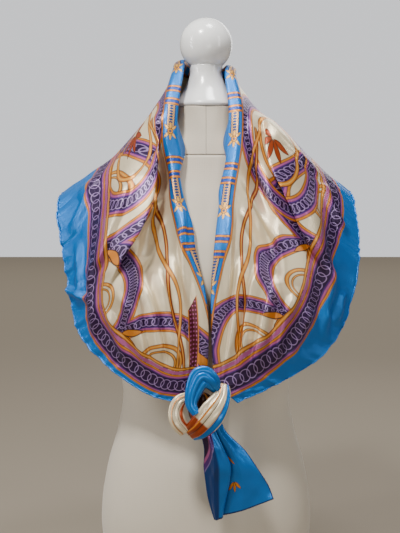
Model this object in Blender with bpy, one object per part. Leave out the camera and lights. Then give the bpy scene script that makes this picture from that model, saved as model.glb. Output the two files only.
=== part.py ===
"""Silk square scarf, folded on its diagonal and knotted in front, on a limbless dress form.

Metres, +Z up, front towards -Y, X to the viewer's right. The origin is the middle of the form's flat base.
"""
import math

import bpy
import numpy as np

# ---------------------------------------------------------------- driving sizes
WALL = 0.0020            # folded silk: two layers and the air between them
SEAM_GAP = 0.0008        # between neighbouring stretches of cloth
FIT_GAP = 0.0003         # between stacked hard pieces
FORM_CLEAR = 0.0038      # cloth's middle surface to the form, where it rests

BASE_THICK = 0.010       # closing board
BASE_INSET = 0.003
NECK_SEAM_Z = 0.586      # neck piece meets the body
NECK_TOP_Z = 0.6545      # neck piece ends under the cap
FORM_SIDES = 40
FORM_SQUARENESS = 2.3    # 2 is an ellipse, more is boxier

BALL_RADIUS = 0.0375
BALL_Z = 0.746
STEM_RADIUS = 0.0230
FOOT_RADIUS = 0.0222     # where the ball stands on the stem
TOP_TURN = 0.04          # angle from the vertical at which the ball closes with a small flat
CAP_TURNS = 32

ROWS_PER_STATION = 4     # cape rows between two stations
ROLL_STEPS = 6           # cape columns across the rolled edge
PANEL_STEPS = 9          # cape columns from the roll to the hem

# The body of the form. Columns: z, half_width, front (depth before the middle), back (depth behind it).
FORM_ROWS = (
    (0.010, 0.148, 0.106, 0.118),
    (0.075, 0.152, 0.110, 0.126),
    (0.150, 0.141, 0.102, 0.112),
    (0.195, 0.128, 0.093, 0.093),
    (0.240, 0.1205, 0.086, 0.082),
    (0.300, 0.127, 0.092, 0.085),
    (0.360, 0.142, 0.110, 0.094),
    (0.410, 0.151, 0.119, 0.101),
    (0.455, 0.160, 0.106, 0.106),
    (0.500, 0.174, 0.085, 0.105),
    (0.530, 0.183, 0.072, 0.099),
    (0.548, 0.172, 0.064, 0.092),
    (0.566, 0.142, 0.058, 0.082),
    (0.584, 0.106, 0.054, 0.070),
    (0.600, 0.074, 0.051, 0.058),
    (0.616, 0.055, 0.048, 0.050),
    (0.635, 0.047, 0.046, 0.046),
    (0.6545, 0.0445, 0.0445, 0.0445),
)

# The turned cap, from its under side up to the stem. Columns: radius, z.
CAP_ROWS = (
    (0.0450, 0.6548),
    (0.0472, 0.6570),
    (0.0474, 0.6600),
    (0.0450, 0.6635),
    (0.0385, 0.6720),
    (0.0300, 0.6840),
    (0.0250, 0.6950),
    (STEM_RADIUS, 0.7040),
    (STEM_RADIUS, 0.7120),
    (0.0225, 0.7150),
)

# The scarf from the middle of the back to the knot, as stations. edge is the folded edge, mid is half way
# across the cloth, hem is the outer edge. out is the distance to the side from the middle plane.
# roll_w and roll_h are the width and height of the rolled edge.
# Columns: edge_out, edge_y, edge_z, mid_out, mid_y, mid_z, hem_out, hem_y, hem_z, roll_w, roll_h.
BACK_MIDDLE = (0.000, 0.036, 0.707, 0.000, 0.108, 0.560, 0.000, 0.137, 0.325, 0.030, 0.012)
LEFT_ROWS = (
    (0.022, 0.031, 0.709, 0.082, 0.098, 0.566, 0.102, 0.128, 0.410, 0.030, 0.012),
    (0.034, 0.008, 0.714, 0.122, 0.052, 0.588, 0.172, 0.080, 0.492, 0.030, 0.013),
    (0.029, -0.026, 0.703, 0.124, 0.012, 0.597, 0.208, 0.028, 0.536, 0.030, 0.013),
    (0.037, -0.050, 0.655, 0.124, -0.040, 0.578, 0.214, -0.004, 0.505, 0.030, 0.012),
    (0.041, -0.066, 0.600, 0.126, -0.080, 0.522, 0.203, -0.026, 0.455, 0.028, 0.010),
    (0.032, -0.088, 0.532, 0.118, -0.112, 0.460, 0.193, -0.044, 0.402, 0.026, 0.009),
    (0.015, -0.116, 0.462, 0.102, -0.129, 0.402, 0.177, -0.064, 0.345, 0.024, 0.008),
    (0.000, -0.134, 0.392, 0.075, -0.131, 0.345, 0.141, -0.092, 0.305, 0.022, 0.007),
    (-0.002, -0.138, 0.325, 0.042, -0.137, 0.298, 0.080, -0.119, 0.267, 0.018, 0.005),
    (0.004, -0.138, 0.276, 0.019, -0.141, 0.268, 0.034, -0.136, 0.257, 0.010, 0.003),
)
RIGHT_ROWS = (
    (0.020, 0.031, 0.706, 0.082, 0.098, 0.570, 0.102, 0.128, 0.412, 0.028, 0.011),
    (0.031, 0.008, 0.706, 0.118, 0.052, 0.600, 0.172, 0.080, 0.500, 0.028, 0.011),
    (0.024, -0.026, 0.694, 0.119, 0.010, 0.610, 0.206, 0.028, 0.540, 0.028, 0.011),
    (0.030, -0.050, 0.648, 0.120, -0.042, 0.588, 0.216, -0.004, 0.508, 0.028, 0.011),
    (0.029, -0.066, 0.596, 0.122, -0.080, 0.528, 0.217, -0.026, 0.458, 0.028, 0.010),
    (0.019, -0.088, 0.534, 0.114, -0.112, 0.464, 0.208, -0.046, 0.404, 0.026, 0.009),
    (0.010, -0.114, 0.466, 0.102, -0.129, 0.402, 0.188, -0.066, 0.350, 0.024, 0.008),
    (0.0055, -0.132, 0.396, 0.079, -0.131, 0.344, 0.149, -0.094, 0.307, 0.022, 0.007),
    (0.0070, -0.137, 0.328, 0.050, -0.138, 0.300, 0.089, -0.118, 0.277, 0.018, 0.005),
    (0.0100, -0.139, 0.284, 0.024, -0.142, 0.274, 0.039, -0.137, 0.258, 0.010, 0.003),
)
KNOT_STATION = len(LEFT_ROWS)
BACK_STATION = 2         # the back panel ends here on each side
SHOULDER_STATION = 4     # the shoulder stretch ends here
ROLL_STATION = 3         # the neck roll ends and the lapel starts here

# The largest folds, seen from the front or the back: where each runs, its bow sideways at the middle, its
# width on the side towards the middle plane and away from it, and its height. Less than 0 is a trough.
# Columns: face, x0, z0, x1, z1, bow, inner_w, outer_w, height.
FOLD_ROWS = (
    ("front", -0.078, 0.622, -0.128, 0.400, 0.012, 0.012, 0.034, 0.012),
    ("front", -0.062, 0.600, -0.090, 0.330, 0.000, 0.024, 0.024, -0.007),
    ("front", -0.128, 0.560, -0.168, 0.350, 0.004, 0.026, 0.020, 0.006),
    ("front", -0.050, 0.440, -0.030, 0.285, 0.000, 0.014, 0.020, 0.007),
    ("front", 0.082, 0.612, 0.148, 0.450, -0.010, 0.012, 0.034, 0.012),
    ("front", 0.070, 0.590, 0.100, 0.330, 0.000, 0.024, 0.024, -0.007),
    ("front", 0.135, 0.560, 0.182, 0.360, -0.006, 0.026, 0.020, 0.006),
    ("front", 0.052, 0.440, 0.030, 0.290, 0.000, 0.014, 0.020, 0.007),
    ("back", -0.040, 0.640, -0.070, 0.430, 0.004, 0.022, 0.026, 0.009),
    ("back", 0.034, 0.640, 0.060, 0.440, -0.004, 0.024, 0.022, 0.009),
    ("back", 0.000, 0.620, 0.004, 0.380, 0.000, 0.024, 0.024, -0.006),
    ("back", -0.090, 0.600, -0.140, 0.480, 0.000, 0.022, 0.022, 0.007),
    ("back", 0.088, 0.606, 0.142, 0.485, 0.000, 0.022, 0.022, 0.007),
)
FOLD_FADE = 0.22         # share of a fold's length over which each end runs out
FOLD_FACING = (-0.1, 0.3)  # how far the cloth must face the front, or the back, to take none or all of a fold

# The rolled edge's section from the folded edge. Columns: share of roll_w outward, share of roll_h up.
ROLL_UNDER = (0.55, -0.35)
ROLL_NOSE = (0.0, 0.25)
ROLL_CREST = (0.42, 1.0)
ROLL_TROUGH = (1.0, 0.15)

# Bundles of gathered cloth in the knot: a path, with half the width across it and half the thickness.
# Columns: x, y, z, half_wide, half_thick.
BUNDLE_SIDES = 14
BUNDLE_RINGS = 14
BUNDLE_RIPPLE = 0.10     # share by which the pleats thicken a bundle
WRAP_ROWS = (
    (0.024, -0.1510, 0.289, 0.007, 0.0035),
    (0.020, -0.163, 0.275, 0.012, 0.0050),
    (0.007, -0.171, 0.254, 0.0165, 0.0058),
    (-0.009, -0.169, 0.233, 0.0150, 0.0055),
    (-0.020, -0.155, 0.221, 0.011, 0.0045),
)
LOOP_ROWS = (
    (-0.034, -0.142, 0.266, 0.0075, 0.0045),
    (-0.042, -0.150, 0.250, 0.0090, 0.0055),
    (-0.041, -0.157, 0.236, 0.0090, 0.0055),
    (-0.0330, -0.1552, 0.2264, 0.0072, 0.0045),
)
SHORT_END_ROWS = (
    (0.008, -0.155, 0.288, 0.0060, 0.0035),
    (0.003, -0.158, 0.298, 0.0110, 0.0060),
    (-0.009, -0.160, 0.296, 0.0130, 0.0070),
    (-0.020, -0.163, 0.281, 0.0095, 0.0060),
    (-0.0238, -0.1665, 0.263, 0.0070, 0.0050),
    (-0.0220, -0.1700, 0.2489, 0.0055, 0.0039),
)
CORE_CENTRE = (-0.006, -0.152, 0.252)
CORE_RADII = (0.018, 0.0141, 0.0225)
CORE_END = 0.12          # angle from the vertical at which each end of the core closes with a flat

# The hanging corner: across from its left edge to its right edge at each height.
# Columns: z, left_x, left_y, mid_x, mid_y, right_x, right_y.
TAIL_OVER_ROWS = (
    (0.2292, -0.011, -0.1510, -0.002, -0.1535, 0.007, -0.1515),
    (0.205, -0.007, -0.151, 0.005, -0.158, 0.016, -0.153),
    (0.180, -0.006, -0.147, 0.010, -0.1555, 0.026, -0.150),
    (0.160, -0.004, -0.144, 0.012, -0.151, 0.030, -0.147),
    (0.130, 0.001, -0.140, 0.013, -0.145, 0.025, -0.141),
    (0.102, 0.008, -0.137, 0.014, -0.140, 0.021, -0.137),
)
TAIL_UNDER_ROWS = (
    (0.226, 0.002, -0.1485, 0.015, -0.1495, 0.028, -0.145),
    (0.190, 0.008, -0.143, 0.030, -0.147, 0.051, -0.138),
    (0.160, 0.012, -0.137, 0.042, -0.143, 0.072, -0.135),
    (0.130, 0.012, -0.133, 0.048, -0.139, 0.087, -0.131),
    (0.106, 0.012, -0.131, 0.044, -0.134, 0.062, -0.131),
)
TAIL_ACROSS = 10
TAIL_DOWN = 12


# ---------------------------------------------------------------- helpers
def clear_scene():
    for obj in list(bpy.data.objects):
        bpy.data.objects.remove(obj, do_unlink=True)


def finish(name, vertices, faces, material, smooth_angle=50):
    """Put points and faces into a named object with its own material."""
    mesh = bpy.data.meshes.new(name)
    mesh.from_pydata([tuple(map(float, v)) for v in vertices], [], faces)
    mesh.update()
    mesh.shade_smooth()
    mesh.set_sharp_from_angle(angle=math.radians(smooth_angle))
    mesh.materials.append(material)
    obj = bpy.data.objects.new(name, mesh)
    bpy.context.collection.objects.link(obj)
    return obj


def finish_material(name, colour, roughness):
    material = bpy.data.materials.new(name)
    material.use_nodes = True
    shader = material.node_tree.nodes["Principled BSDF"]
    shader.inputs["Base Color"].default_value = (*colour, 1.0)
    shader.inputs["Roughness"].default_value = roughness
    shader.inputs["Metallic"].default_value = 0.0
    return material


def through(knots, values, wanted):
    """Smooth curve through values at knots: cubic pieces whose slopes come from the neighbours."""
    knots = np.asarray(knots, float)
    values = np.asarray(values, float)
    wanted = np.asarray(wanted, float)
    slopes = np.gradient(values, knots, axis=0)
    index = np.clip(np.searchsorted(knots, wanted, side="right") - 1, 0, len(knots) - 2)
    span = (knots[index + 1] - knots[index])[:, None]
    u = (wanted - knots[index])[:, None] / span
    flat = values.reshape(len(knots), -1)
    flat_slopes = slopes.reshape(len(knots), -1)
    result = ((2 * u**3 - 3 * u**2 + 1) * flat[index] + (u**3 - 2 * u**2 + u) * span * flat_slopes[index]
              + (-2 * u**3 + 3 * u**2) * flat[index + 1] + (u**3 - u**2) * span * flat_slopes[index + 1])
    return result.reshape((len(wanted),) + values.shape[1:])


def grid_faces(rows, columns, closed_across=False):
    """Quads of a grid whose points are stored row by row."""
    faces = []
    last = columns if closed_across else columns - 1
    for i in range(rows - 1):
        for j in range(last):
            k = (j + 1) % columns
            faces.append((i * columns + j, i * columns + k, (i + 1) * columns + k, (i + 1) * columns + j))
    return faces


def unit(vectors):
    return vectors / np.maximum(np.linalg.norm(vectors, axis=-1, keepdims=True), 1e-12)


def smooth_step(low, high, value):
    u = np.clip((value - low) / (high - low), 0, 1)
    return u * u * (3 - 2 * u)


# ---------------------------------------------------------------- the dress form
def form_section(z):
    """Half width, front depth and back depth of the body at heights z."""
    table = np.array(FORM_ROWS)
    return through(table[:, 0], table[:, 1:], np.clip(z, table[0, 0], table[-1, 0]))


def form_ring(z, inset=0.0):
    angle = np.arange(FORM_SIDES) * 2 * np.pi / FORM_SIDES
    half_width, front, back = form_section(np.array([z]))[0] - inset
    power = 2 / FORM_SQUARENESS
    x = half_width * np.sign(np.cos(angle)) * np.abs(np.cos(angle)) ** power
    depth = np.where(np.sin(angle) < 0, front, back)
    y = depth * np.sign(np.sin(angle)) * np.abs(np.sin(angle)) ** power
    return np.stack([x, y, np.full(FORM_SIDES, z)], axis=1)


def build_rings(name, rings, material, smooth_angle=50):
    """Close a stack of rings, bottom to top, with a flat face at each end."""
    count = len(rings[0])
    vertices = np.concatenate(rings)
    faces = grid_faces(len(rings), count, closed_across=True)
    faces.append(tuple(reversed(range(count))))
    faces.append(tuple((len(rings) - 1) * count + j for j in range(count)))
    return finish(name, vertices, faces, material, smooth_angle)


def build_form_body():
    jersey = finish_material("jersey_body", (0.78, 0.74, 0.67), 0.85)
    levels = np.concatenate([np.linspace(BASE_THICK + FIT_GAP, 0.50, 15),
                             np.linspace(0.518, NECK_SEAM_Z - FIT_GAP / 2, 7)])
    build_rings("form_torso", [form_ring(z) for z in levels], jersey)
    neck_jersey = finish_material("jersey_neck", (0.80, 0.76, 0.69), 0.85)
    levels = np.linspace(NECK_SEAM_Z + FIT_GAP / 2, NECK_TOP_Z, 7)
    build_rings("form_neck", [form_ring(z) for z in levels], neck_jersey)


def build_form_base():
    board = finish_material("closing_board", (0.55, 0.50, 0.43), 0.7)
    outline = form_ring(BASE_THICK, BASE_INSET)
    low = outline * (1, 1, 0)
    build_rings("form_base", [low, outline], board, smooth_angle=30)


def turned(name, profile, material):
    """Turn a profile of radius and height, given from the bottom up, about the vertical axis."""
    angle = np.arange(CAP_TURNS) * 2 * np.pi / CAP_TURNS
    rings = [np.stack([r * np.cos(angle), r * np.sin(angle), np.full(CAP_TURNS, z)], axis=1) for r, z in profile]
    return build_rings(name, rings, material, smooth_angle=40)


def build_turned_top():
    paint = finish_material("painted_cap", (0.90, 0.89, 0.87), 0.25)
    turned("form_neck_cap", CAP_ROWS, paint)
    ball_paint = finish_material("painted_ball", (0.90, 0.89, 0.87), 0.25)
    start = math.asin(FOOT_RADIUS / BALL_RADIUS)
    turn = np.linspace(start, math.pi - TOP_TURN, 18)
    profile = [(BALL_RADIUS * math.sin(a), BALL_Z - BALL_RADIUS * math.cos(a)) for a in turn]
    foot_z = CAP_ROWS[-1][1] + FIT_GAP
    profile.insert(0, (FOOT_RADIUS, foot_z))
    turned("form_finial", profile, ball_paint)


# ---------------------------------------------------------------- the draped cloth
def cape_stations():
    """All stations from the left end of the knot, round the back, to the right end, with x in place of out."""
    rows = [(-1, row) for row in reversed(LEFT_ROWS)] + [(1, BACK_MIDDLE)] + [(1, row) for row in RIGHT_ROWS]
    table = np.array([row for _, row in rows])
    side = np.array([s for s, _ in rows], float)
    for column in (0, 3, 6):
        table[:, column] *= side
    return np.arange(-KNOT_STATION, KNOT_STATION + 1, dtype=float), table


def push_clear(points):
    """Move points straight out from the middle until they clear the form."""
    sizes = form_section(points[..., 2].ravel()).reshape(points.shape[:-1] + (3,)) + FORM_CLEAR
    depth = np.where(points[..., 1] < 0, sizes[..., 1], sizes[..., 2])
    reach = ((np.abs(points[..., 0]) / sizes[..., 0]) ** FORM_SQUARENESS
             + (np.abs(points[..., 1]) / depth) ** FORM_SQUARENESS) ** (1 / FORM_SQUARENESS)
    covered = points[..., 2] < NECK_TOP_Z
    scale = np.where(covered & (reach < 1), 1 / np.maximum(reach, 1e-3), 1)
    result = points.copy()
    result[..., :2] *= scale[..., None]
    return result


def grid_normals(points):
    """Unit normals of a grid, pointing away from the form's middle."""
    along = np.gradient(points, axis=0)
    across = np.gradient(points, axis=1)
    return unit(np.cross(along, across))


def fold_offset(points, normals):
    """Height of every fold at each point: a soft ridge either side of a bowed line."""
    height = np.zeros(points.shape[:-1])
    for face, x0, z0, x1, z1, bow, inner_w, outer_w, depth in FOLD_ROWS:
        run = np.array([x1 - x0, z1 - z0])
        length = np.linalg.norm(run)
        run /= length
        offset = points[..., [0, 2]] - (x0, z0)
        share = (offset @ run) / length
        aside = offset @ np.array([-run[1], run[0]])
        aside = aside - bow * 4 * share * (1 - share)
        outward = aside * np.sign(-run[1] * (x0 + x1) + 1e-9)
        width = np.where(outward > 0, outer_w, inner_w)
        ridge = np.clip(1 - (aside / width) ** 2, 0, 1) ** 2
        fade = smooth_step(0, FOLD_FADE, share) * smooth_step(1, 1 - FOLD_FADE, share)
        facing = normals[..., 1] * (-1 if face == "front" else 1)
        height += depth * ridge * fade * smooth_step(*FOLD_FACING, facing)
    return height


def cape_surface():
    """Points and normals of the whole cape: rows run from knot to knot round the back, columns from the
    turned-under edge, over the roll, to the hem."""
    stations, table = cape_stations()
    wanted = np.linspace(-KNOT_STATION, KNOT_STATION, 2 * KNOT_STATION * ROWS_PER_STATION + 1)
    rails = through(stations, table, wanted)
    edge, mid, hem = rails[:, 0:3], rails[:, 3:6], rails[:, 6:9]
    roll_w, roll_h = rails[:, 9:10], rails[:, 10:11]
    outward = unit(mid - edge)
    forward = unit(np.gradient(edge, axis=0))
    up = unit(np.cross(forward, outward))
    outward = unit(np.cross(up, forward))
    roll = [edge + w * roll_w * outward + h * roll_h * up
            for w, h in (ROLL_UNDER, ROLL_NOSE, ROLL_CREST, ROLL_TROUGH)]
    knots = np.stack([*roll, mid, hem], axis=1)
    chord = np.concatenate([np.zeros((len(knots), 1)),
                            np.cumsum(np.linalg.norm(np.diff(knots, axis=1), axis=2), axis=1)], axis=1)
    rows = []
    for spots, line in zip(chord, knots):
        roll_at = np.interp(np.linspace(0, 3, ROLL_STEPS + 1), [0, 1, 2, 3], spots[:4])
        panel_at = np.linspace(spots[3], spots[5], PANEL_STEPS + 1)[1:]
        rows.append(through(spots, line, np.concatenate([roll_at, panel_at])))
    points = np.array(rows)
    normals = grid_normals(points)
    points = points + normals * fold_offset(points, normals)[..., None]
    points = push_clear(points)
    return points, grid_normals(points)


def wall(name, points, normals, material):
    """Give a grid of points a wall, after drawing its seam edges back by half the seam gap."""
    points = points.copy()
    edges = ((points[0], points[1]), (points[-1], points[-2]),
             (points[:, 0], points[:, 1]), (points[:, -1], points[:, -2]))
    for rim, inner in edges:
        rim += unit(inner - rim) * SEAM_GAP / 2
    rows, columns = points.shape[:2]
    outer = (points + normals * WALL / 2).reshape(-1, 3)
    inner = (points - normals * WALL / 2).reshape(-1, 3)
    count = rows * columns
    quads = grid_faces(rows, columns)
    faces = [tuple(reversed(q)) for q in quads] + [tuple(i + count for i in q) for q in quads]
    rim = ([j for j in range(columns)] + [i * columns + columns - 1 for i in range(1, rows)]
           + [(rows - 1) * columns + j for j in range(columns - 2, -1, -1)]
           + [i * columns for i in range(rows - 2, 0, -1)])
    for a, b in zip(rim, rim[1:] + rim[:1]):
        faces.append((a, b, b + count, a + count))
    return finish(name, np.concatenate([outer, inner]), faces, material)


def build_cape():
    points, normals = cape_surface()
    centre = KNOT_STATION * ROWS_PER_STATION

    def stretch(name, first, last, roll, colour):
        low, high = centre + first * ROWS_PER_STATION, centre + last * ROWS_PER_STATION
        columns = slice(0, ROLL_STEPS + 1) if roll else slice(ROLL_STEPS, None)
        silk = finish_material(name.replace("scarf", "silk"), colour, 0.35)
        wall(name, points[low:high + 1, columns], normals[low:high + 1, columns], silk)

    blue = (0.02, 0.33, 0.72)
    cream = (0.86, 0.80, 0.69)
    stretch("scarf_neck_roll", -ROLL_STATION, ROLL_STATION, True, blue)
    stretch("scarf_lapel_left", -KNOT_STATION, -ROLL_STATION, True, blue)
    stretch("scarf_lapel_right", ROLL_STATION, KNOT_STATION, True, blue)
    stretch("scarf_front_left", -KNOT_STATION, -SHOULDER_STATION, False, cream)
    stretch("scarf_front_right", SHOULDER_STATION, KNOT_STATION, False, cream)
    stretch("scarf_shoulder_left", -SHOULDER_STATION, -BACK_STATION, False, cream)
    stretch("scarf_shoulder_right", BACK_STATION, SHOULDER_STATION, False, cream)
    stretch("scarf_back", -BACK_STATION, BACK_STATION, False, cream)


# ---------------------------------------------------------------- the knot and the tail
def bundle(name, rows, colour, pleats):
    """A closed, pleated bundle of cloth along a path. Its width lies across the path, facing the front."""
    table = np.array(rows)
    spots = np.linspace(0, len(rows) - 1, BUNDLE_RINGS)
    line = through(np.arange(len(rows)), table, spots)
    centre = line[:, :3]
    run = unit(np.gradient(centre, axis=0))
    wide = unit(np.cross(run, (0, -1, 0)))
    thick = unit(np.cross(run, wide))
    angle = np.arange(BUNDLE_SIDES) * 2 * np.pi / BUNDLE_SIDES
    ripple = 1 + BUNDLE_RIPPLE * np.cos(pleats * angle)
    rings = []
    for c, w, t, half_wide, half_thick in zip(centre, wide, thick, line[:, 3], line[:, 4]):
        rings.append(c + np.outer(np.cos(angle) * half_wide, w)
                     + np.outer(np.sin(angle) * half_thick * ripple, t))
    silk = finish_material(name.replace("scarf", "silk"), colour, 0.35)
    build_rings(name, rings, silk)


def build_knot_core():
    """A squashed ball for the hidden layers in the middle of the knot."""
    turn = np.linspace(CORE_END, math.pi - CORE_END, 9)
    angle = np.arange(BUNDLE_SIDES) * 2 * np.pi / BUNDLE_SIDES
    rings = []
    for a in turn:
        ring = np.stack([np.cos(angle) * math.sin(a) * CORE_RADII[0],
                         np.sin(angle) * math.sin(a) * CORE_RADII[1],
                         np.full(BUNDLE_SIDES, -math.cos(a) * CORE_RADII[2])], axis=1)
        rings.append(ring + CORE_CENTRE)
    silk = finish_material("silk_knot_core", (0.60, 0.28, 0.08), 0.4)
    build_rings("scarf_knot_core", rings, silk)


def tail_sheet(name, rows, colour):
    """One hanging fold of the corner, a wall through its rows of left, middle and right points."""
    table = np.array(rows)
    heights = np.linspace(0, len(rows) - 1, TAIL_DOWN + 1)
    line = through(np.arange(len(rows)), table, heights)
    z, left, mid, right = line[:, 0], line[:, 1:3], line[:, 3:5], line[:, 5:7]
    across = np.linspace(0, 2, TAIL_ACROSS + 1)
    points = np.zeros((TAIL_DOWN + 1, TAIL_ACROSS + 1, 3))
    for i in range(TAIL_DOWN + 1):
        points[i, :, :2] = through([0, 1, 2], np.array([left[i], mid[i], right[i]]), across)
        points[i, :, 2] = z[i]
    silk = finish_material(name.replace("scarf", "silk"), colour, 0.35)
    wall(name, points, grid_normals(points), silk)


def build_knot_and_tail():
    bundle("scarf_knot_wrap", WRAP_ROWS, (0.85, 0.79, 0.68), 7)
    bundle("scarf_knot_loop", LOOP_ROWS, (0.78, 0.70, 0.58), 5)
    bundle("scarf_short_end", SHORT_END_ROWS, (0.02, 0.33, 0.72), 5)
    build_knot_core()
    tail_sheet("scarf_tail_over", TAIL_OVER_ROWS, (0.01, 0.16, 0.45))
    tail_sheet("scarf_tail_under", TAIL_UNDER_ROWS, (0.01, 0.24, 0.55))


clear_scene()
build_form_base()
build_form_body()
build_turned_top()
build_cape()
build_knot_and_tail()
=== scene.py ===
import math
import bmesh
import bpy
import numpy as np
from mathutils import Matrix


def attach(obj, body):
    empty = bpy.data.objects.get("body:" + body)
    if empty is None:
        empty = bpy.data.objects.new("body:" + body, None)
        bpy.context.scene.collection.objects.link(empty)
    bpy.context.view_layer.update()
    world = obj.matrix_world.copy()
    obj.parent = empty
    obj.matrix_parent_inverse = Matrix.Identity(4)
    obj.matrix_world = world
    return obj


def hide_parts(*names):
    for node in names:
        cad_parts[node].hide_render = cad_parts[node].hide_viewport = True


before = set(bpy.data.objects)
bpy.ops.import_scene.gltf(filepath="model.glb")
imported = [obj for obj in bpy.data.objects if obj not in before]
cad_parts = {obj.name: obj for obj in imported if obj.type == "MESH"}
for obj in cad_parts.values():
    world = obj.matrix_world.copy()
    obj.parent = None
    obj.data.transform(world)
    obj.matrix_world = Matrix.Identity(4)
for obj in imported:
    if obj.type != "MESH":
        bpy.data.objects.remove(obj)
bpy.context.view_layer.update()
print("frame loaded")

# sizes shared by the pieces, in metres
silkThick = 0.0009
neckSeamHeight = 0.586
neckTopHeight = 0.6545
formSquareness = 2.3
mergeReach = 0.00002  # points of a closed grid nearer than this become one


# small tools
def smoothStep(low, high, value):
    u = np.clip((value - low) / (high - low), 0, 1)  # 0 below low, 1 above high, eased between
    return u * u * (3 - 2 * u)


def unit(vectors):
    return vectors / np.maximum(np.linalg.norm(vectors, axis=-1, keepdims=True), 1e-12)


def through(knots, values, wanted):
    # cubic through the values at the knots, each slope taken from the two neighbours
    knots, values, wanted = (np.asarray(x, float) for x in (knots, values, wanted))
    slopes = np.gradient(values, knots, axis=0).reshape(len(knots), -1)
    flat = values.reshape(len(knots), -1)
    at = np.clip(np.searchsorted(knots, wanted, side="right") - 1, 0, len(knots) - 2)
    span = (knots[at + 1] - knots[at])[:, None]
    u = (wanted - knots[at])[:, None] / span
    result = ((2 * u**3 - 3 * u**2 + 1) * flat[at] + (u**3 - 2 * u**2 + u) * span * slopes[at]
              + (3 * u**2 - 2 * u**3) * flat[at + 1] + (u**3 - u**2) * span * slopes[at + 1])
    return result.reshape((len(wanted),) + values.shape[1:])


def gridNormals(points):
    # at each grid point, the cross product of the way along the rows and the way across
    return unit(np.cross(np.gradient(points, axis=0), np.gradient(points, axis=1)))


def addSurface(name, points, maps, material, closed=False, thick=0.0):
    # a grid of points as quads, with its UV maps; a closed grid repeats its first column as its last
    rows, columns = points.shape[:2]
    index = np.arange(rows * columns).reshape(rows, columns)
    quads = np.stack([index[1:, :-1], index[1:, 1:], index[:-1, 1:], index[:-1, :-1]], axis=-1).reshape(-1, 4)
    mesh = bpy.data.meshes.new(name)
    mesh.from_pydata(points.reshape(-1, 3).tolist(), [], quads.tolist())
    for mapName, values in maps.items():
        layer = mesh.uv_layers.new(name=mapName)
        layer.data.foreach_set("uv", values.reshape(-1, 2)[quads.ravel()].astype(np.float32).ravel())
    if closed:
        work = bmesh.new()
        work.from_mesh(mesh)
        bmesh.ops.remove_doubles(work, verts=work.verts, dist=mergeReach)
        bmesh.ops.dissolve_degenerate(work, edges=work.edges, dist=mergeReach / 20)
        bmesh.ops.recalc_face_normals(work, faces=work.faces)
        work.to_mesh(mesh)
        work.free()
    mesh.shade_smooth()
    mesh.materials.append(material)
    piece = bpy.data.objects.new(name, mesh)
    bpy.context.collection.objects.link(piece)
    if thick:
        wall = piece.modifiers.new("thickness", "SOLIDIFY")
        wall.thickness = thick
        wall.offset = 0.0
    return piece


def noise(seed, rows, columns, cellsAlong, cellsAcross):
    # smooth random field: a coarse seeded grid of numbers, read between its points with eased weights
    grid = np.random.default_rng(seed).uniform(-1, 1, (cellsAlong + 2, cellsAcross + 2))
    a = np.linspace(0, cellsAlong, rows)
    b = np.linspace(0, cellsAcross, columns)
    ia, ib = a.astype(int), b.astype(int)
    fa, fb = smoothStep(0, 1, a - ia)[:, None], smoothStep(0, 1, b - ib)[None, :]
    low = grid[np.ix_(ia, ib)] * (1 - fb) + grid[np.ix_(ia, ib + 1)] * fb
    high = grid[np.ix_(ia + 1, ib)] * (1 - fb) + grid[np.ix_(ia + 1, ib + 1)] * fb
    return low * (1 - fa) + high * fa


# arithmetic in materials
class Wire:
    # one number in a node tree; the usual signs join Math nodes to it
    def __init__(self, tree, socket):
        self.tree = tree
        self.socket = socket

    def math(self, kind, other=None, third=None, clamp=False):
        node = self.tree.nodes.new("ShaderNodeMath")
        node.operation = kind
        node.use_clamp = clamp
        for slotIndex, value in enumerate((self, other, third)):
            if isinstance(value, Wire):
                self.tree.links.new(value.socket, node.inputs[slotIndex])
            elif value is not None:
                node.inputs[slotIndex].default_value = value
        return Wire(self.tree, node.outputs[0])

    def __add__(self, other):
        return self.math("ADD", other)

    def __sub__(self, other):
        return self.math("SUBTRACT", other)

    def __mul__(self, other):
        return self.math("MULTIPLY", other)

    def over(self, other):
        return self.math("MAXIMUM", other)

    def size(self):
        return self.math("ABSOLUTE")

    def fold(self, pitch):
        # distance to the nearest multiple of the pitch, signed: -pitch/2 to pitch/2
        return (self + pitch / 2).math("FLOORED_MODULO", pitch) - pitch / 2

    def below(self, edge, soft=0.0005):
        # 1 under the edge, 0 over it, blurred by soft
        return ((self * -1.0 + edge) * (0.5 / soft) + 0.5).math("MULTIPLY", 1.0, clamp=True)

    def between(self, low, high, soft=0.0005):
        return self.below(high, soft) * (self * -1.0).below(-low, soft)


def distance(x, y):
    return (x * x + y * y).math("SQRT")


class Paint:
    # a stack of flat colours, each laid over the last through a mask
    def __init__(self, tree, colour):
        self.tree = tree
        self.socket = None
        self.colour = (*colour, 1)

    def lay(self, mask, colour):
        node = self.tree.nodes.new("ShaderNodeMix")
        node.data_type = "RGBA"
        self.tree.links.new(mask.socket, node.inputs[0])
        if self.socket is None:
            node.inputs[6].default_value = self.colour
        else:
            self.tree.links.new(self.socket, node.inputs[6])
        node.inputs[7].default_value = (*colour, 1)
        self.socket = node.outputs[2]


def mapWires(tree, mapName):
    source = tree.nodes.new("ShaderNodeUVMap")
    source.uv_map = mapName
    parts = tree.nodes.new("ShaderNodeSeparateXYZ")
    tree.links.new(source.outputs[0], parts.inputs[0])
    return Wire(tree, parts.outputs[0]), Wire(tree, parts.outputs[1])


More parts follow.
